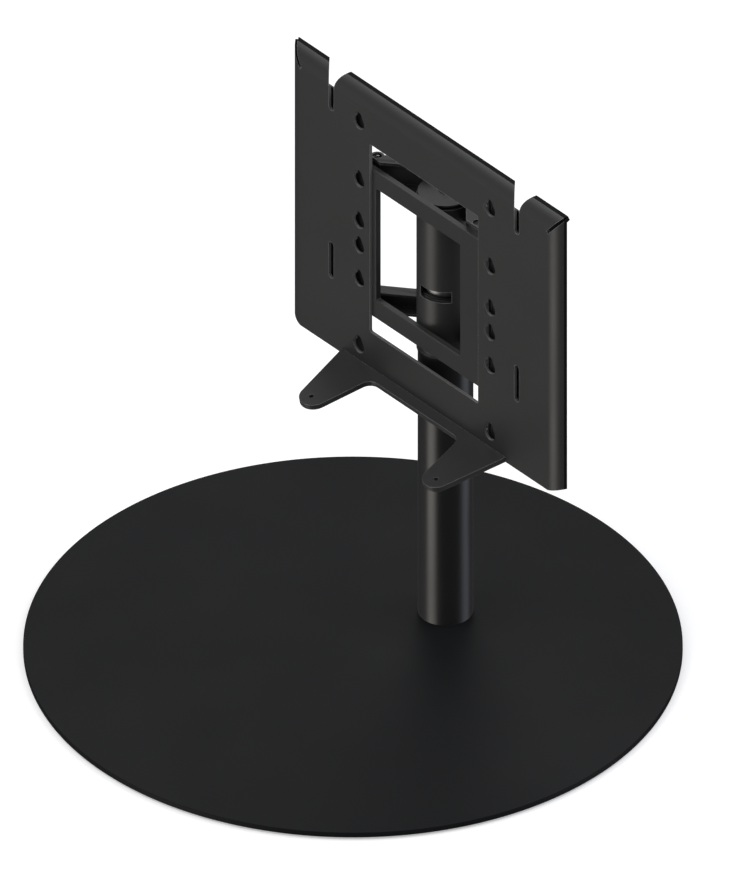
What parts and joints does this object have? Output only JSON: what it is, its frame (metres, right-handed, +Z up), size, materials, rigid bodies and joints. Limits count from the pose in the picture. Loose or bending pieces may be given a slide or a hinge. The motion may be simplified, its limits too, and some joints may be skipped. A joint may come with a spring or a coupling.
{
  "type": "tv stand with swivel mount",
  "caption": "Floor stand with a round base plate, an off-centre pole and a swivelling head that carries a drilled mounting plate with two front ears.",
  "frame": {"origin": "on the floor, at the centre of the round base plate", "axes": "+Z up; the mounting plate faces -Y; +X is towards the plate's right, seen from the front"},
  "size_m": [0.6549, 0.655, 0.6119],
  "materials": {
    "base_coat": "satin",
    "pole_coat": "satin",
    "head_coat": "satin",
    "plate_coat": "satin",
    "bush_plastic": "matte",
    "foot_pad": "matte",
    "fastener": "satin",
    "bare_steel": "satin"
  },
  "bodies": {
    "stand": {"base_plate": "base_coat", "base_feet": "foot_pad", "pole_tube": "pole_coat", "pole_foot": "bare_steel", "base_screws": "fastener", "spindle": "bare_steel", "top_cap": "head_coat", "cap_screw": "fastener"},
    "head": {"lower_bush": "bush_plastic", "upper_bush": "bush_plastic", "stop_screw": "fastener", "sleeve": "head_coat", "carrier_frame": "head_coat", "arm_upper_left": "head_coat", "arm_upper_right": "head_coat", "arm_lower_left": "head_coat", "arm_lower_right": "head_coat", "tv_plate": "plate_coat", "rail_left": "head_coat", "rail_right": "head_coat", "ear_bracket": "plate_coat"}
  },
  "joints": [
    {"name": "head_swivel", "type": "hinge", "parent": "stand", "child": "head", "pos_m": [0.01432, 0.10876, 0.421], "axis": [0, 0, 1], "range_deg": [-37.5, 22.5]}
  ]
}
